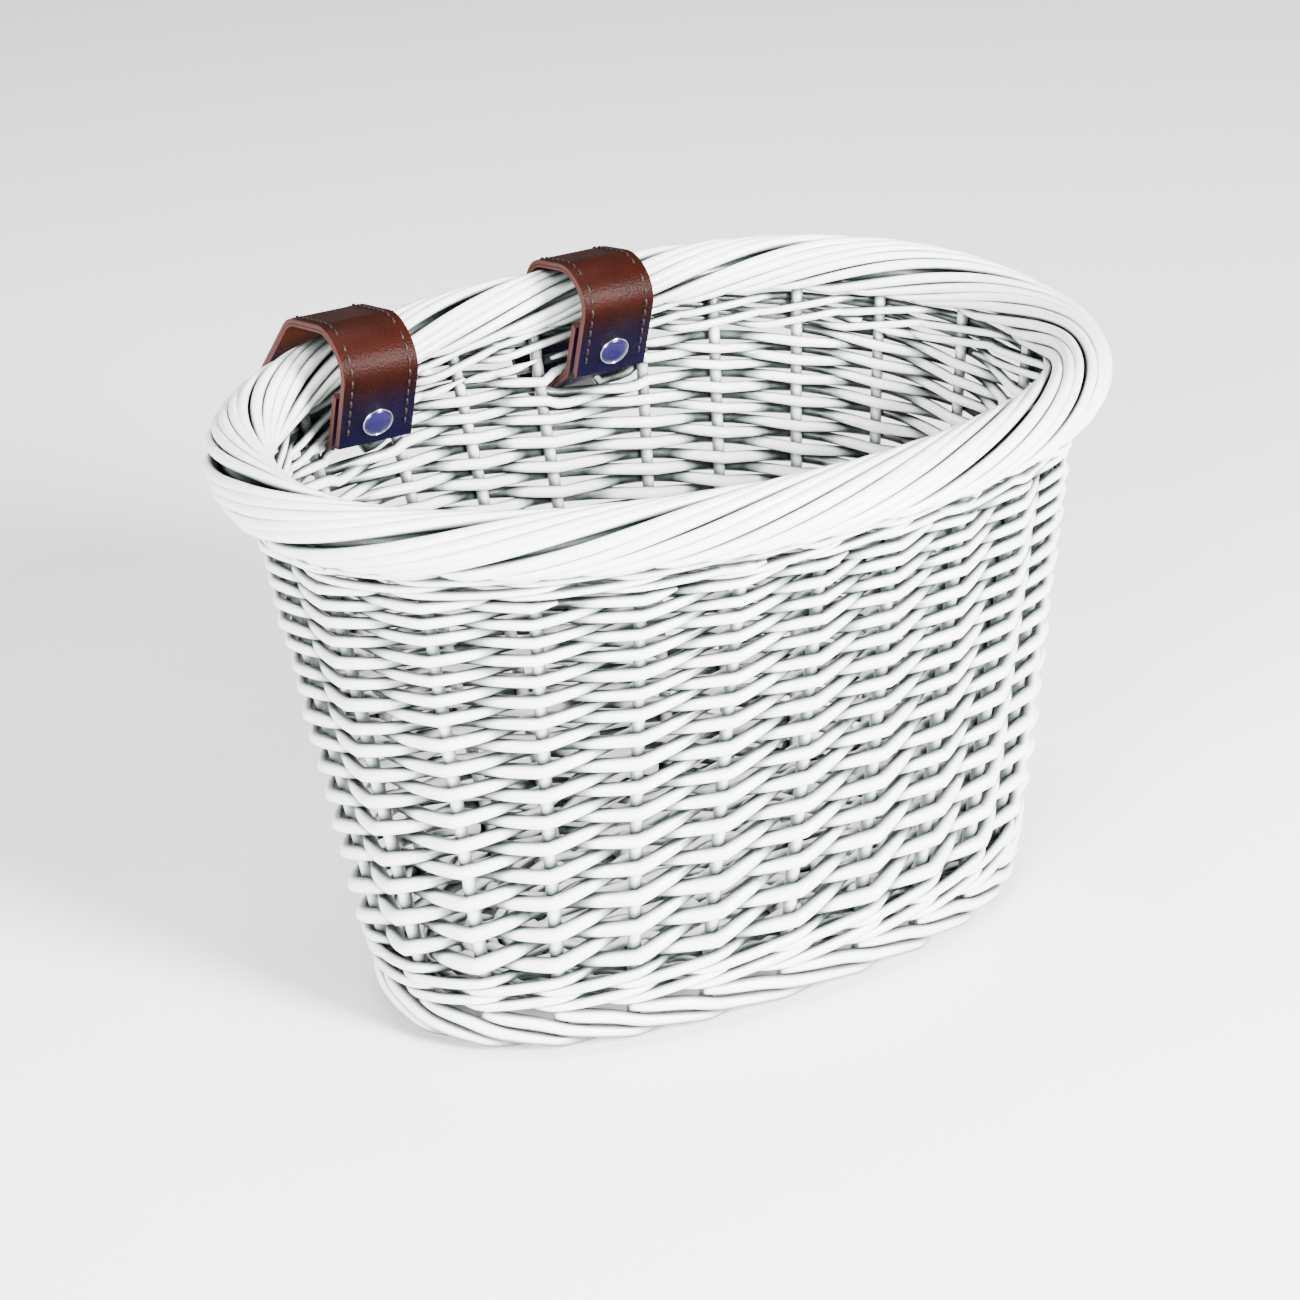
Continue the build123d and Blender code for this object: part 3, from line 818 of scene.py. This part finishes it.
capProfiles = {
    "rim": [(0, 0), (4.25, 0), (4.32, 0.3), (4.26, 0.7), (4.12, 0.86), (3.96, 0.84), (3.88, 0.6), (0, 0.5)],
    "dome": [(0, 0.3), (3.9, 0.3), (3.88, 0.72), (3.55, 1.02), (2.8, 1.3), (1.8, 1.45), (0.8, 1.51),
             (0, 1.52)],
}

for name in ("strap_1", "strap_2"):
    low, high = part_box(name + "_flap_leather")
    x = (low.x + high.x) / 2 / mm
    shapeOf = strapRoute(x)
    fixed = roundedRoute(shapeOf["fixed"], shapeOf["fixedRadii"])
    flap = roundedRoute(shapeOf["flap"], strapWay["flapBends"])
    end = roundedRoute(shapeOf["end"], [])
    # the fixed loop stops behind the crest, and the flap is parted part way down its front
    whole = fixed + flap[1:] + end[1:]
    behind = len(fixed) - strapSizes["seamBack"]
    front = len(fixed) - 2 + len(flap) * 6 // 10

    piece = strapPiece(name + "_loop", whole, (0, behind), x)
    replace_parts(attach(piece, "root"), name + "_leather", name + "_lining")
    for part, span, bodies, fold in (
        ("_over_rim", (behind, front), ("root", name + "_flap"), shapeOf["flap"][0]),
        ("_tongue", (front, len(whole) - 1), (name + "_flap", name + "_end"), shapeOf["end"][0]),
    ):
        piece = strapPiece(name + part, whole, span, x)
        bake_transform(piece)
        kind = "_flap" if part == "_over_rim" else "_end"
        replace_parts(piece, name + kind + "_leather", name + kind + "_lining")

    # snap cap: a plated rim pressed round an enamelled dome
    tail = shapeOf["fixed"][0]
    facing = Vector((0, -1, -strapWay["lean"])).normalized()
    seat = Vector((x, tail[0] + strapWay["lean"] * snapDrop, tail[1] - snapDrop)) + facing * snapRise
    turned = facing.to_track_quat("Z", "Y").to_matrix().to_4x4()
    for part, material, slotName in (("rim", steel, "snap_metal"), ("dome", enamel, "snap_cap_enamel")):
        mesh = latheMesh(f"{name}_cap_{part}", capProfiles[part])
        mesh.transform(Matrix.Translation(seat * mm) @ turned)
        piece = addPiece(f"{name}_cap_{part}", mesh, [material])
        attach(piece, name + "_end")
        if part == "dome":
            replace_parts(piece, name + "_snap_cap")
    for node in ("_snap_socket", "_snap_stud", "_snap_rivet"):
        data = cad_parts[name + node].data
        data.materials.clear()
        data.materials.append(steel)
print("straps")


# ---- floor, light and camera ----

bpy.ops.mesh.primitive_plane_add(size=6)
floor = bpy.context.object
floor.name = "studio_floor"
floor.data.materials.append(plain("white_studio_card", "#f6f6f6", 0.9))

world = bpy.data.worlds.new("studio")
bpy.context.scene.world = world
world.use_nodes = True
world.node_tree.nodes["Background"].inputs["Color"].default_value = (1, 1, 1, 1)
world.node_tree.nodes["Background"].inputs["Strength"].default_value = 0.3


def softLight(name, place, target, size, power):
    lamp = bpy.data.lights.new(name, "AREA")
    lamp.shape, lamp.size, lamp.energy = "DISK", size, power
    holder = bpy.data.objects.new(name, lamp)
    holder.location = place
    holder.rotation_mode = "QUATERNION"
    holder.rotation_quaternion = (Vector(target) - Vector(place)).to_track_quat("-Z", "Y")
    bpy.context.scene.collection.objects.link(holder)


softLight("key", (0.5, -1.2, 0.72), (0, 0, 0.08), 0.5, 135)
softLight("fill", (-1.1, -0.8, 0.5), (0, 0, 0.08), 0.7, 70)
softLight("top", (0.0, 0.3, 1.3), (0, 0, 0.08), 0.6, 14)

view = {"azimuth": -27.903, "elevation": 25.752, "roll": -1.856, "distance": 960.886, "lens": 99.063,
        "film": 36, "across": -8.830, "up": 3.607, "height": 154.04}
a, e, roll = (radians(view[key]) for key in ("azimuth", "elevation", "roll"))
back = Vector((sin(a) * cos(e), -cos(a) * cos(e), sin(e)))
level = (-back).cross(Vector((0, 0, 1))).normalized()
upward = level.cross(-back)
right = level * cos(roll) + upward * sin(roll)
upright = upward * cos(roll) - level * sin(roll)
target = Vector((0, 0, view["height"] / 2)) + right * view["across"] + upright * view["up"]
lens = bpy.data.cameras.new("camera")
lens.sensor_width = view["film"]
lens.lens = view["lens"]
lens.clip_start, lens.clip_end = 0.05, 20
camera = bpy.data.objects.new("camera", lens)
bpy.context.scene.collection.objects.link(camera)
turn = Matrix((right, upright, back)).transposed().to_4x4()
camera.matrix_world = Matrix.Translation((target + back * view["distance"]) * mm) @ turn
bpy.context.scene.camera = camera
print("studio")
